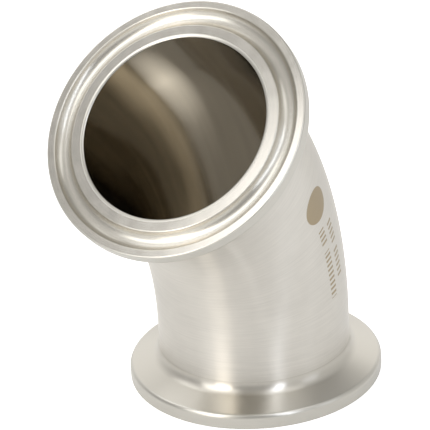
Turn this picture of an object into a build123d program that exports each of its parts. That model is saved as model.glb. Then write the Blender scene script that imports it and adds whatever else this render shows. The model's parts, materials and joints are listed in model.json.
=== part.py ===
"""A 45 degree clamp elbow for 38.1 mm stainless tube.

It is welded up from three pieces: a bent tube and two turned clamp ferrules. A full-penetration
butt weld joins each ferrule to its end of the tube, ground flush inside and out.

Millimetres, +Z up. The origin is the centre of the lower ferrule's sealing face, on the lower
port's axis. The elbow stands on that face and bends towards -Y, in the plane X = 0.
"""

import os
from math import cos, radians, sin, sqrt, tan

from build123d import *

# Tube and bend
tube_od = 38.1  # 1 1/2 inch tube
tube_wall = 1.2
bend_angle = 45.0
bend_radius = 57.15  # to the tube's centreline, 1.5 times its diameter
tube_straight = 0.3  # straight tube between the bend and each weld

# Butt welds: the fused zone is wider at the cap, outside, than at the root, in the bore
weld_cap_width = 3.0
weld_root_width = 2.0

# Clamp ferrules
ferrule_length = 11.0  # sealing face to the weld's centreline
flange_reach = 6.2  # the rim beyond the outside of the tube
flange_thickness = 2.85  # at the rim, before its edges are rounded
flange_back_angle = 20.0  # slope of the flange's back, which the clamp's jaws wedge on
neck_fillet = 2.5
rim_back_round = 1.0
rim_face_round = 0.3
mouth_width = 0.65  # the bore's mouth rolls in from the face and meets the bore at an edge
mouth_depth = 0.24
mouth_edge_round = 0.1
groove_reach = 2.95  # centreline of the gasket groove beyond the outside of the tube
groove_section_radius = 1.7
groove_depth = 1.4
groove_edge_round = 0.25

# Worked out from the sizes above
outer_radius = tube_od / 2
bore_radius = outer_radius - tube_wall
flange_radius = outer_radius + flange_reach  # 50.5 mm across on a 38.1 mm tube
groove_radius = outer_radius + groove_reach
bend_start = ferrule_length + weld_cap_width / 2 + tube_straight  # sealing face to the bend


def port_planes():
    """Planes on the two sealing faces, each with +Z pointing into the elbow."""
    angle = radians(bend_angle)
    outward = Vector(0, -sin(angle), cos(angle))
    bend_end = Vector(
        0, bend_radius * (cos(angle) - 1), bend_start + bend_radius * sin(angle)
    )
    upper_face_centre = bend_end + outward * bend_start
    upper = Plane(origin=upper_face_centre, x_dir=(-1, 0, 0), z_dir=-outward)
    return {"lower": Plane.XY, "upper": upper}


def round_corner(profile, point, radius):
    """The profile with its corner nearest to the point (radius from the axis, height) rounded."""
    corner = profile.vertices().sort_by_distance(Vector(point[0], 0, point[1]))[0]
    return fillet(corner, radius)


def turned(profile):
    """A half section in the XZ plane, turned about the Z axis."""
    return revolve(profile, Axis.Z)


def in_section(points):
    """Points given as (radius from the axis, height), placed in the XZ plane."""
    return [Vector(radius, 0, height) for radius, height in points]


def half_section(points):
    """The closed outline through points given as (radius from the axis, height)."""
    return make_face(Polyline(*in_section(points), close=True))


def ferrule():
    """One clamp ferrule, sealing face down at height 0 and neck up."""
    slope = tan(radians(flange_back_angle))
    slope_foot = flange_thickness + flange_reach * slope
    neck_cap_end = ferrule_length - weld_cap_width / 2
    neck_root_end = ferrule_length - weld_root_width / 2

    mouth_start, mouth_end = (bore_radius + mouth_width, 0), (bore_radius, mouth_depth)

    outline = in_section(
        [
            mouth_start,
            (flange_radius, 0),
            (flange_radius, flange_thickness),
            (outer_radius, slope_foot),
            (outer_radius, neck_cap_end),
            (bore_radius, neck_root_end),
            mouth_end,
        ]
    )
    mouth = TangentArc(*in_section([mouth_start, mouth_end]), tangent=(-1, 0, 0))
    section = make_face([Polyline(*outline), mouth])
    section = round_corner(section, (outer_radius, slope_foot), neck_fillet)
    section = round_corner(section, (flange_radius, flange_thickness), rim_back_round)
    section = round_corner(section, (flange_radius, 0), rim_face_round)
    section = round_corner(section, mouth_end, mouth_edge_round)

    rise = groove_section_radius - groove_depth
    half_width = sqrt(groove_section_radius**2 - rise**2)
    cutter = Plane.XZ * Pos(groove_radius, -rise) * Circle(groove_section_radius)
    section -= cutter
    for side in (-1, 1):
        edge = (groove_radius + side * half_width, 0)
        section = round_corner(section, edge, groove_edge_round)
    return turned(section)


def weld():
    """One fused weld zone, at its height above the sealing face that it is nearest to."""
    cap, root = weld_cap_width / 2, weld_root_width / 2
    return turned(
        half_section(
            [
                (bore_radius, ferrule_length - root),
                (outer_radius, ferrule_length - cap),
                (outer_radius, ferrule_length + cap),
                (bore_radius, ferrule_length + root),
            ]
        )
    )


def tube_end():
    """The straight end of the tube, from its weld to the bend, above a sealing face."""
    return turned(
        half_section(
            [
                (bore_radius, ferrule_length + weld_root_width / 2),
                (outer_radius, ferrule_length + weld_cap_width / 2),
                (outer_radius, bend_start),
                (bore_radius, bend_start),
            ]
        )
    )


def elbow_tube(ports):
    """The bent tube with its two straight ends."""
    start = Plane.XY.offset(bend_start)
    ring = start * (Circle(outer_radius) - Circle(bore_radius))
    bend_axis = Axis((0, -bend_radius, bend_start), (1, 0, 0))
    tube = revolve(ring, bend_axis, bend_angle)
    for port in ports.values():
        tube += port * tube_end()
    return tube


def build():
    """Every piece in its place, by node name."""
    ports = port_planes()
    pieces = {"elbow_tube": elbow_tube(ports)}
    for name, port in ports.items():
        pieces[f"{name}_ferrule"] = port * ferrule()
        pieces[f"{name}_weld"] = port * weld()
    return pieces


os.makedirs("parts", exist_ok=True)
for node, piece in build().items():
    export_step(piece, f"parts/{node}.step")
    print(node, "volume", round(piece.volume, 2), "mm3")
print("centre to face", round(bend_start + bend_radius * tan(radians(bend_angle / 2)), 2), "mm")
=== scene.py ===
"""The finish of a stainless 45 degree clamp elbow, dressed around its packed construction.

The elbow is welded up from a bent tube and two turned ferrules. Each piece is drawn as the outline
of a turned part on a straight axis, turned, and then bent with the elbow's centreline.
"""

import json
from math import asin, atan2, cos, hypot, pi, radians, sin, sqrt, tan

import bpy
from mathutils import Matrix, Vector


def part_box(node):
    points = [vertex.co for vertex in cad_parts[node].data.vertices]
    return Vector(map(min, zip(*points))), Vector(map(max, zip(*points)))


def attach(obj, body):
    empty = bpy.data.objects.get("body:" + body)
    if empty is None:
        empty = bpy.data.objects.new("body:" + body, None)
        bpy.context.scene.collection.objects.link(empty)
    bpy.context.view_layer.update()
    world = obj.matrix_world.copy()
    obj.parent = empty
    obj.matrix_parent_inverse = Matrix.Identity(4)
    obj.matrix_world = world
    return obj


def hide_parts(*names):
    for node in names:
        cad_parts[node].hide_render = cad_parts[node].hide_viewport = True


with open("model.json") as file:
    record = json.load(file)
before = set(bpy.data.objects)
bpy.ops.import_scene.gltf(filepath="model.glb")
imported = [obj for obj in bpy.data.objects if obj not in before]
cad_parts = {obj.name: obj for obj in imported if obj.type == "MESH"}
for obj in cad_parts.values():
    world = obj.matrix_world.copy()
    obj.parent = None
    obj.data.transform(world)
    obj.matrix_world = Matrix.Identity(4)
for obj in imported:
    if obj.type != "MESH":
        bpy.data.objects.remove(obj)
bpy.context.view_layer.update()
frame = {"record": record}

MM = 0.001
mounts = {mount["name"]: mount for mount in frame["record"]["mounts"]}

# Sizes in millimetres, read from the frame or the same as the construction's
bore_radius = mounts["lower_bore"]["dims"]["r_mm"]
flange_radius = mounts["lower_rim"]["dims"]["r_mm"]
lower_weld_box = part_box("lower_weld")
outer_radius = lower_weld_box[1].x / MM
weld_cap_low = lower_weld_box[0].z / MM
weld_cap_high = lower_weld_box[1].z / MM
weld_middle = (weld_cap_low + weld_cap_high) / 2
weld_root_width = 2.0
bend_radius = 57.15
bend_start = weld_cap_high + 0.3
flange_thickness = 2.85
flange_back_angle = radians(20)
neck_fillet = 2.5
rim_back_round = 1.0
rim_face_round = 0.3
mouth_width = 0.65
mouth_depth = 0.24
groove_radius = 22.0
groove_section_radius = 1.7
groove_depth = 1.4
groove_edge_round = 0.25

upper_direction = Vector(mounts["upper_clamp_end"]["axis"])
bend_angle = atan2(-upper_direction.y, upper_direction.z)
bend_length = bend_radius * bend_angle
run_length = 2 * bend_start + bend_length  # along the centreline, from face to face

SEGMENTS = 256  # around each turned piece
ARC_STEP = radians(6)  # on the small rounded edges
MAP_UNIT = 100  # millimetres of outline to one unit of the UV map
SAME_POINT = 1e-6  # millimetres between two points that count as one


# ---------------------------------------------------------------- outlines of the turned pieces

LAND, GROOVE, RIM, SATIN, FILLET, BORE = range(6)  # the finish of each stretch of an outline


def stretch(start, end, finish, steps=1):
    """A straight stretch of outline; its outward side is on the right of the way it runs."""
    run = (end[0] - start[0], end[1] - start[1])
    length = hypot(*run)
    normal = (run[1] / length, -run[0] / length)
    return [
        (start[0] + run[0] * i / steps, start[1] + run[1] * i / steps, *normal, finish)
        for i in range(steps + 1)
    ]


def arc(centre, radius, start, end, finish, hollow=False):
    """A rounded stretch from one angle to another; hollow ones face their centre."""
    steps = max(3, round(abs(end - start) / ARC_STEP))
    side = -1 if hollow else 1
    points = []
    for i in range(steps + 1):
        angle = start + (end - start) * i / steps
        out = (cos(angle), sin(angle))
        place = (centre[0] + radius * out[0], centre[1] + radius * out[1])
        points.append((*place, side * out[0], side * out[1], finish))
    return points


def ferrule_outline():
    """Half section of a clamp ferrule as (radius, height over its face, normal, finish)."""
    root_end = weld_middle - weld_root_width / 2
    slope = flange_back_angle

    # The groove is an arc; each of its edges is a small round tangent to the arc and to the face.
    lift = groove_section_radius - groove_depth
    reach = groove_section_radius + groove_edge_round
    spread = sqrt(reach**2 - (lift + groove_edge_round) ** 2)
    turn = atan2(lift + groove_edge_round, spread)

    # Where the 20 degree back meets the rim's rounding and the neck's fillet
    rim_top = flange_thickness + rim_back_round * (tan(slope) - 1 / cos(slope))
    rim_centre = (flange_radius - rim_back_round, rim_top)
    fillet_centre_radius = outer_radius + neck_fillet
    back_height = flange_thickness + (flange_radius - fillet_centre_radius) * tan(slope)
    fillet_centre = (fillet_centre_radius, back_height + neck_fillet / cos(slope))
    rim_end = (
        rim_centre[0] + rim_back_round * sin(slope),
        rim_centre[1] + rim_back_round * cos(slope),
    )
    fillet_foot = (
        fillet_centre[0] - neck_fillet * sin(slope),
        fillet_centre[1] - neck_fillet * cos(slope),
    )
    quarter = pi / 2
    mouth = bore_radius + mouth_width
    mouth_radius = (mouth_width**2 + mouth_depth**2) / (2 * mouth_depth)
    mouth_turn = asin(mouth_width / mouth_radius)
    inner_lip = (groove_radius - spread, groove_edge_round)
    outer_lip = (groove_radius + spread, groove_edge_round)
    face_edge = flange_radius - rim_face_round

    return [
        *stretch((bore_radius, root_end), (bore_radius, mouth_depth), BORE, 6),
        *arc((mouth, mouth_radius), mouth_radius, -quarter - mouth_turn, -quarter, RIM),
        *stretch((mouth, 0), (inner_lip[0], 0), LAND, 3),
        *arc(inner_lip, groove_edge_round, -quarter, -turn, GROOVE),
        *arc((groove_radius, -lift), groove_section_radius, pi - turn, turn, GROOVE, True),
        *arc(outer_lip, groove_edge_round, turn - pi, -quarter, GROOVE),
        *stretch((outer_lip[0], 0), (face_edge, 0), LAND, 3),
        *arc((face_edge, rim_face_round), rim_face_round, -quarter, 0, RIM),
        *stretch((flange_radius, rim_face_round), (flange_radius, rim_top), RIM),
        *arc(rim_centre, rim_back_round, 0, quarter - slope, RIM),
        *stretch(rim_end, fillet_foot, FILLET, 4),
        *arc(fillet_centre, neck_fillet, -quarter - slope, -pi, FILLET, True),
        *stretch((outer_radius, fillet_centre[1]), (outer_radius, weld_cap_low), SATIN, 4),
    ]


def sleeve_outline(cap_start, cap_end, root_start, root_end, steps):
    """Half section of a plain length of tube wall, with bevelled ends."""
    return [
        *stretch((bore_radius, root_end), (bore_radius, root_start), BORE, steps),
        *stretch((outer_radius, cap_start), (outer_radius, cap_end), SATIN, steps),
    ]


# ---------------------------------------------------------------- turning and bending


def bent(across, aside, along):
    """The place and the aside and along directions of a point given on the straight axis."""
    if along <= bend_start:
        angle, beyond = 0.0, along - bend_start
    else:
        angle = min((along - bend_start) / bend_radius, bend_angle)
        beyond = max(along - bend_start - bend_length, 0.0)
    side = Vector((0, cos(angle), sin(angle)))
    ahead = Vector((0, -sin(angle), cos(angle)))
    centre = Vector((0, -bend_radius * (1 - cos(angle)), bend_start + bend_radius * sin(angle)))
    return centre + ahead * beyond + Vector((across, 0, 0)) + side * aside, side, ahead


def turned_piece(name, outline, finishes, upper=False):
    """Turns an outline around the axis, bends it to its place and keeps its unbent coordinates."""
    places, normals, unbent = [], [], []
    for radius, height, out_radial, out_axial, _ in outline:
        along = run_length - height if upper else height
        axial = -out_axial if upper else out_axial
        for i in range(SEGMENTS):
            angle = 2 * pi * i / SEGMENTS
            across, aside = cos(angle), sin(angle)
            place, side, ahead = bent(radius * across, radius * aside, along)
            outward = Vector((across, 0, 0)) + side * aside
            places.append(place * MM)
            normals.append((outward * out_radial + ahead * axial).normalized())
            unbent += (radius * across, radius * aside, along)

    faces, face_finishes, map_corners = [], [], []
    count = len(outline)
    travelled = 0.0  # along the outline
    for j, (before, after) in enumerate(zip(outline, outline[1:] + outline[:1])):
        # Each finish, and the last bevel, has its own patch of the map, so that no tangents mix
        patch = 2 * (before[4] if j < count - 1 else len(finishes))
        low = patch + travelled / MAP_UNIT
        travelled += hypot(after[0] - before[0], after[1] - before[1])
        high = patch + travelled / MAP_UNIT
        ring, next_ring = j * SEGMENTS, (j + 1) % count * SEGMENTS
        for i in range(SEGMENTS):
            k = (i + 1) % SEGMENTS
            start, end = i / SEGMENTS, (i + 1) / SEGMENTS
            face = [ring + i, ring + k, next_ring + k, next_ring + i]
            corners = [(low, start), (low, end), (high, end), (high, start)]
            faces.append(face[::-1] if upper else face)
            map_corners += corners[::-1] if upper else corners
            face_finishes.append(before[4])

    mesh = bpy.data.meshes.new(name)
    mesh.from_pydata(places, [], faces)
    for finish in finishes:
        mesh.materials.append(finish)
    mesh.polygons.foreach_set("material_index", face_finishes)
    mesh.polygons.foreach_set("use_smooth", [True] * len(faces))
    straight = mesh.attributes.new("unbent_mm", "FLOAT_VECTOR", "POINT")
    straight.data.foreach_set("vector", unbent)
    outline_map = mesh.uv_layers.new(name="outline")
    outline_map.data.foreach_set("uv", [value for corner in map_corners for value in corner])
    mesh.update()
    mesh.normals_split_custom_set_from_vertices(normals)
    piece = bpy.data.objects.new(name, mesh)
    bpy.context.scene.collection.objects.link(piece)
    return piece


def without_doubles(outline):
    """Where two stretches meet, keeps one point, with the first's normal and second's finish."""
    kept = []
    for point in outline:
        if kept and hypot(point[0] - kept[-1][0], point[1] - kept[-1][1]) < SAME_POINT:
            kept[-1] = (*kept[-1][:4], point[4])
        else:
            kept.append(point)
    return kept


# ---------------------------------------------------------------- materials


def linear(hex_colour):
    """An sRGB hex colour as linear RGBA."""
    channels = [int(hex_colour[i : i + 2], 16) / 255 for i in (1, 3, 5)]
    return (
        *[c / 12.92 if c <= 0.04045 else ((c + 0.055) / 1.055) ** 2.4 for c in channels],
        1.0,
    )


def add(tree, kind, inputs, **settings):
    """Adds a node; each input is a constant or another node's output socket."""
    node = tree.nodes.new(kind)
    for key, value in settings.items():
        setattr(node, key, value)
    for key, value in inputs.items():
        if isinstance(value, bpy.types.NodeSocket):
            tree.links.new(value, node.inputs[key])
        else:
            node.inputs[key].default_value = value
    return node


def steel(name, colour, roughness, brushing=0.0):
    """Bare stainless steel, whose brushing, if any, runs around the piece."""
    material = bpy.data.materials.new(name)
    material.use_nodes = True
    tree = material.node_tree
    shader = tree.nodes["Principled BSDF"]
    shader.inputs["Base Color"].default_value = linear(colour)
    shader.inputs["Metallic"].default_value = 1.0
    shader.inputs["Roughness"].default_value = roughness
    shader.inputs["Anisotropic"].default_value = brushing
    lay = add(tree, "ShaderNodeTangent", {}, direction_type="UV_MAP", uv_map="outline")
    tree.links.new(lay.outputs["Tangent"], shader.inputs["Tangent"])
    return material


def to_pattern(material):
    """What a pattern needs: the material's nodes, its shader and the unbent coordinates in mm."""
    tree = material.node_tree
    unbent = add(tree, "ShaderNodeAttribute", {}, attribute_name="unbent_mm").outputs["Vector"]
    return tree, tree.nodes["Principled BSDF"], unbent


def multiply(tree, first, second):
    return add(tree, "ShaderNodeMath", {0: first, 1: second}, operation="MULTIPLY").outputs["Value"]


def within(tree, value, middle, reach):
    """1 where the value is no further than the reach from the middle, 0 elsewhere."""
    inputs = {0: value, 1: middle, 2: reach}
    return add(tree, "ShaderNodeMath", inputs, operation="COMPARE").outputs["Value"]


def grain(tree, unbent, around, along, detail=2.0):
    """Noise from 0 to 1 with its own number of cycles per millimetre around and along the tube."""
    cycles = add(
        tree,
        "ShaderNodeVectorMath",
        {0: unbent, 1: (around, around, along)},
        operation="MULTIPLY",
    ).outputs["Vector"]
    inputs = {"Vector": cycles, "Scale": 1.0, "Detail": detail, "Roughness": 0.6}
    return add(tree, "ShaderNodeTexNoise", inputs).outputs["Fac"]


def ranged(tree, value, low, high, value_low=0.3, value_high=0.7):
    """Maps the middle part of a noise to a range of its own."""
    inputs = {
        "Value": value,
        "From Min": value_low,
        "From Max": value_high,
        "To Min": low,
        "To Max": high,
    }
    return add(tree, "ShaderNodeMapRange", inputs).outputs["Result"]


def tinted(tree, colour, factor):
    """The base colour made lighter or darker by a factor."""
    inputs = {0: linear(colour)[:3], "Scale": factor}
    return add(tree, "ShaderNodeVectorMath", inputs, operation="SCALE").outputs["Vector"]


def distance(tree, place, centre):
    """How far a place is from a centre."""
    inputs = {0: place, 1: centre}
    return add(tree, "ShaderNodeVectorMath", inputs, operation="DISTANCE").outputs["Value"]


def uneven(tree, shader, height, depth_mm):
    """Lets a noise raise and lower the surface by a depth."""
    bump = add(tree, "ShaderNodeBump", {"Height": height, "Distance": depth_mm * MM})
    tree.links.new(bump.outputs["Normal"], shader.inputs["Normal"])


def etched_mark(tree, unbent):
    """A plain disc and two rows of short bars, etched on the tube's right side; 1 inside them."""
    # Millimetres around and along the tube
    disc_centre, disc_radius = (0.2, 43.3, 0), 3.7
    bar_pitch, bar_half_width, bar_half_height = 1.15, 0.27, 0.95
    # For each row, its place around the tube and the middle and half length of its groups of bars
    rows = (
        (2.3, ((34.0, 2.6), (26.5, 3.7))),
        (-1.0, ((35.5, 2.0), (25.9, 5.7))),
    )

    parts = add(tree, "ShaderNodeSeparateXYZ", {"Vector": unbent})
    angle = add(
        tree,
        "ShaderNodeMath",
        {0: parts.outputs["Y"], 1: parts.outputs["X"]},
        operation="ARCTAN2",
    ).outputs["Value"]
    around = multiply(tree, angle, outer_radius)
    along = parts.outputs["Z"]
    place = add(tree, "ShaderNodeCombineXYZ", {"X": around, "Y": along}).outputs["Vector"]
    away = distance(tree, place, disc_centre)
    mark = add(
        tree, "ShaderNodeMath", {0: away, 1: disc_radius}, operation="LESS_THAN"
    ).outputs["Value"]
    phase = add(
        tree, "ShaderNodeMath", {0: along, 1: bar_pitch}, operation="FLOORED_MODULO"
    ).outputs["Value"]
    bars = within(tree, phase, bar_pitch / 2, bar_half_width)
    for row_middle, groups in rows:
        row = multiply(tree, within(tree, around, row_middle, bar_half_height), bars)
        for middle, half_length in groups:
            group = multiply(tree, row, within(tree, along, middle, half_length))
            mark = add(
                tree, "ShaderNodeMath", {0: mark, 1: group}, operation="MAXIMUM"
            ).outputs["Value"]
    return mark


def belt_polished_satin(on_tube=False):
    """Fine lines around from a polishing belt; the bent tube is marked and slightly uneven."""
    name, colour = "belt_polished_stainless", "#D6D2CA"
    etched_colour, etched_strength = "#9C8A6A", 0.85
    if on_tube:
        name += "_etched"
    material = steel(name, colour, 0.32, 0.95)
    tree, shader, unbent = to_pattern(material)
    # Lines 0.4 mm apart and 9 mm long, coarser than a belt's so that they show; clouds of 14 to
    # 20 mm where the belt pressed harder
    lines = grain(tree, unbent, 0.11, 2.4, 3.0)
    clouds = grain(tree, unbent, 0.07, 0.05, 3.0)
    shade = multiply(tree, ranged(tree, lines, 0.95, 1.03), ranged(tree, clouds, 0.94, 1.05))
    base = tinted(tree, colour, shade)
    roughness = ranged(tree, clouds, 0.29, 0.35)
    if on_tube:
        covered = multiply(tree, etched_mark(tree, unbent), etched_strength)
        base = add(
            tree,
            "ShaderNodeMix",
            {"Factor": covered, 6: base, 7: linear(etched_colour)},
            data_type="RGBA",
        ).outputs[2]
        # Waves of 6 to 11 mm, which bending leaves
        uneven(tree, shader, grain(tree, unbent, 0.16, 0.09, 1.0), 0.1)
    tree.links.new(base, shader.inputs["Base Color"])
    tree.links.new(roughness, shader.inputs["Roughness"])
    return material


def fine_turned():
    """Nearly flat facing cuts, with faint rings left by the tool and slight handling marks."""
    colour = "#CFCBC3"
    material = steel("fine_turned_stainless", colour, 0.13)
    tree, shader, unbent = to_pattern(material)
    across = add(tree, "ShaderNodeVectorMath", {0: unbent, 1: (1, 1, 0)}, operation="MULTIPLY")
    radius = add(
        tree, "ShaderNodeVectorMath", {0: across.outputs["Vector"]}, operation="LENGTH"
    ).outputs["Value"]
    rings_per_mm = 5.0
    rings = add(
        tree,
        "ShaderNodeTexNoise",
        {"W": radius, "Scale": rings_per_mm, "Detail": 1.0},
        noise_dimensions="1D",
    ).outputs["Fac"]
    marks = grain(tree, unbent, 0.3, 0.3, 4.0)  # 3 mm across
    shade = multiply(tree, ranged(tree, rings, 0.97, 1.02), ranged(tree, marks, 0.98, 1.02))
    tree.links.new(tinted(tree, colour, shade), shader.inputs["Base Color"])
    tree.links.new(ranged(tree, marks, 0.12, 0.16), shader.inputs["Roughness"])
    return material


def mirror_bore():
    """A bore polished bright, with long soft streaks along it and a little unevenness; its steel is
    darker and browner than the outside's, which is painted shade.
    """
    # Painted shade: the same stainless, darkened and browned to dim the light reflected inside the
    # bore
    colour = "#B4AB9A"
    material = steel("mirror_polished_bore", colour, 0.13)
    tree, shader, unbent = to_pattern(material)
    streaks = grain(tree, unbent, 0.45, 0.03, 2.0)  # 2 mm wide and 33 mm long
    base = tinted(tree, colour, ranged(tree, streaks, 0.94, 1.05))
    tree.links.new(base, shader.inputs["Base Color"])
    tree.links.new(ranged(tree, streaks, 0.09, 0.18), shader.inputs["Roughness"])
    uneven(tree, shader, grain(tree, unbent, 0.12, 0.06, 1.0), 0.1)
    return material


MOP_BUFFED = "#C9C5BC"  # a mop runs around the groove and the fillet

# What each stretch of an outline is finished with, in the order of their numbers
finish_of = {
    LAND: fine_turned(),
    GROOVE: steel("buffed_stainless_groove", MOP_BUFFED, 0.25, 0.88),
    RIM: steel("turned_stainless_rim", "#C5C2BA", 0.3, 0.4),
    SATIN: belt_polished_satin(),
    FILLET: steel("buffed_stainless_fillet", MOP_BUFFED, 0.29, 0.95),
    BORE: mirror_bore(),
}
finishes = [finish_of[place] for place in sorted(finish_of)]

# ---------------------------------------------------------------- the pieces

half_root = weld_root_width / 2
ferrule = without_doubles(ferrule_outline())
weld = sleeve_outline(
    weld_cap_low, weld_cap_high, weld_middle - half_root, weld_middle + half_root, steps=2
)
tube = sleeve_outline(
    weld_cap_high,
    run_length - weld_cap_high,
    weld_middle + half_root,
    run_length - weld_middle - half_root,
    steps=72,
)
pieces = [
    ("lower_ferrule", ferrule, False, "turned_ferrule"),
    ("upper_ferrule", ferrule, True, "turned_ferrule"),
    ("lower_weld", weld, False, "ground_weld"),
    ("upper_weld", weld, True, "ground_weld"),
    ("elbow_tube", tube, False, "polished_tube"),
]
for node, outline, upper, slot in pieces:
    piece = turned_piece(node + "_finished", outline, finishes, upper)
    if node == "elbow_tube":
        piece.data.materials[SATIN] = belt_polished_satin(on_tube=True)
    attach(piece, "root")
    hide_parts(node)

# ---------------------------------------------------------------- floor, lights and camera

FLOOR_SIZE = 6.0  # metres
ELBOW_MIDDLE = Vector((0, -8.0, 32.0))  # millimetres
DAYLIGHT, WARM, COOL = "#FFFFFF", "#FFF6EA", "#EAF1FF"

# Soft round areas of the tent: azimuth, elevation, inner and outer radius in degrees, and how
# bright each is beside the rest
TENT_AREAS = (
    (25, 22, 12, 34, 0.6),
    (-60, 13, 8, 30, 0.68),
    (-54, 51, 3, 9, 0.75),
    (-150, 20, 20, 55, 1.6),
    (175, 57, 9, 30, 0.5),
    (30, 72, 5, 25, 0.85),
    (-145, 70, 4, 18, 1.35),
)

# Softboxes: azimuth, elevation, width and height in degrees as seen from the elbow, radiance
SOFTBOXES = {
    "left_key": (-20.5, 38, 30, 44, 1.98, DAYLIGHT),
    "left_low": (-9, 14, 17, 36, 2.3, WARM),
    "far_left": (-82, 50, 26, 24, 1.05, DAYLIGHT),
    "right_key": (56, 36, 10, 50, 3.3, COOL),
    "right_strip": (94, 24, 18, 24, 0.7, COOL),
    "rear_left_top": (-131, 67, 9, 14, 0.7, DAYLIGHT),
    "right_top": (78, 68, 34, 18, 0.9, DAYLIGHT),
}


def direction(azimuth, elevation):
    """The way to a place at an azimuth, from -Y towards +X, and an elevation, in degrees."""
    turn, lift = radians(azimuth), radians(elevation)
    return Vector((sin(turn) * cos(lift), -cos(turn) * cos(lift), sin(lift)))


def floor_plane():
    """White paper, dimmer to the steel than it looks, but for a bright patch in the lower port:
    painted light, a glowing pool where light through the elbow would fall.
    """
    look_strength = 0.6
    paper_strength, painted_light_strength = 0.17, 1.45
    # Painted light: a glowing pool on the floor inside the lower port, standing in for light that
    # falls through the elbow
    painted_light_centre = (5 * MM, 11 * MM, 0)
    painted_light_inner, painted_light_outer = 3 * MM, 14 * MM

    mesh = bpy.data.meshes.new("floor")
    half = FLOOR_SIZE / 2
    corners = [(-half, -half, 0), (half, -half, 0), (half, half, 0), (-half, half, 0)]
    mesh.from_pydata(corners, [], [(0, 1, 2, 3)])
    floor = bpy.data.objects.new("floor", mesh)
    bpy.context.scene.collection.objects.link(floor)
    material = bpy.data.materials.new("white_paper_floor")
    material.use_nodes = True
    tree = material.node_tree
    shader = tree.nodes["Principled BSDF"]
    shader.inputs["Base Color"].default_value = linear("#EEEEEE")
    shader.inputs["Roughness"].default_value = 0.9
    shader.inputs["Emission Color"].default_value = linear("#FFFFFF")
    place = add(tree, "ShaderNodeTexCoord", {}).outputs["Object"]
    away = distance(tree, place, painted_light_centre)
    sent = ranged(tree, away, painted_light_strength, paper_strength, painted_light_inner, painted_light_outer)
    seen = add(tree, "ShaderNodeLightPath", {}).outputs["Is Camera Ray"]
    strength = ranged(tree, seen, sent, look_strength, 0.0, 1.0)
    tree.links.new(strength, shader.inputs["Emission Strength"])
    mesh.materials.append(material)


def softbox(name, azimuth, elevation, width, height, radiance, colour):
    """A rectangular light, one metre from the elbow's middle and aimed at it."""
    size = [2 * tan(radians(angle / 2)) for angle in (width, height)]
    light = bpy.data.lights.new(name, "AREA")
    light.shape = "RECTANGLE"
    light.size, light.size_y = size
    light.energy = radiance * pi * size[0] * size[1]
    light.color = linear(colour)[:3]
    lamp = bpy.data.objects.new(name, light)
    bpy.context.scene.collection.objects.link(lamp)
    away = direction(azimuth, elevation)
    lamp.location = ELBOW_MIDDLE * MM + away
    lamp.rotation_euler = away.to_track_quat("Z", "Y").to_euler()


def studio():
    """A pale tent with darker and brighter areas, and softboxes around and above the elbow."""
    world = bpy.data.worlds.new("pale_studio")
    world.use_nodes = True
    tree = world.node_tree
    way = add(tree, "ShaderNodeTexCoord", {}).outputs["Generated"]
    strength = 0.75
    for azimuth, elevation, inner, outer, factor in TENT_AREAS:
        facing = add(
            tree,
            "ShaderNodeVectorMath",
            {0: way, 1: direction(azimuth, elevation)},
            operation="DOT_PRODUCT",
        ).outputs["Value"]
        area = add(
            tree,
            "ShaderNodeMapRange",
            {
                "Value": facing,
                "From Min": cos(radians(outer)),
                "From Max": cos(radians(inner)),
                "To Min": 1.0,
                "To Max": factor,
            },
            interpolation_type="SMOOTHSTEP",
        ).outputs["Result"]
        strength = multiply(tree, strength, area)
    background = tree.nodes["Background"]
    background.inputs["Color"].default_value = linear("#FFFEFC")
    tree.links.new(strength, background.inputs["Strength"])
    bpy.context.scene.world = world
    for name, setting in SOFTBOXES.items():
        softbox(name, *setting)


def camera():
    """Looks down at the elbow from its front right, with a long lens."""
    azimuth, elevation, roll = 30.005, 24.744, radians(-3.617)
    pan_right, pan_up, distance_back = -2.648, 4.514, 403.763  # millimetres
    turn = radians(azimuth)
    back = direction(azimuth, elevation)
    level = Vector((cos(turn), sin(turn), 0))
    upright = back.cross(level)
    right = level * cos(roll) + upright * sin(roll)
    up = upright * cos(roll) - level * sin(roll)
    place = ELBOW_MIDDLE + right * pan_right + up * pan_up + back * distance_back
    data = bpy.data.cameras.new("camera")
    data.sensor_width = 36.0
    data.lens = 175.53
    data.clip_start = 0.01
    data.clip_end = 20.0
    lens = bpy.data.objects.new("camera", data)
    bpy.context.scene.collection.objects.link(lens)
    axes = Matrix((right, up, back)).transposed().to_4x4()
    lens.matrix_world = Matrix.Translation(place * MM) @ axes
    bpy.context.scene.camera = lens


floor_plane()
studio()
camera()
bpy.context.scene.view_settings.view_transform = "Standard"
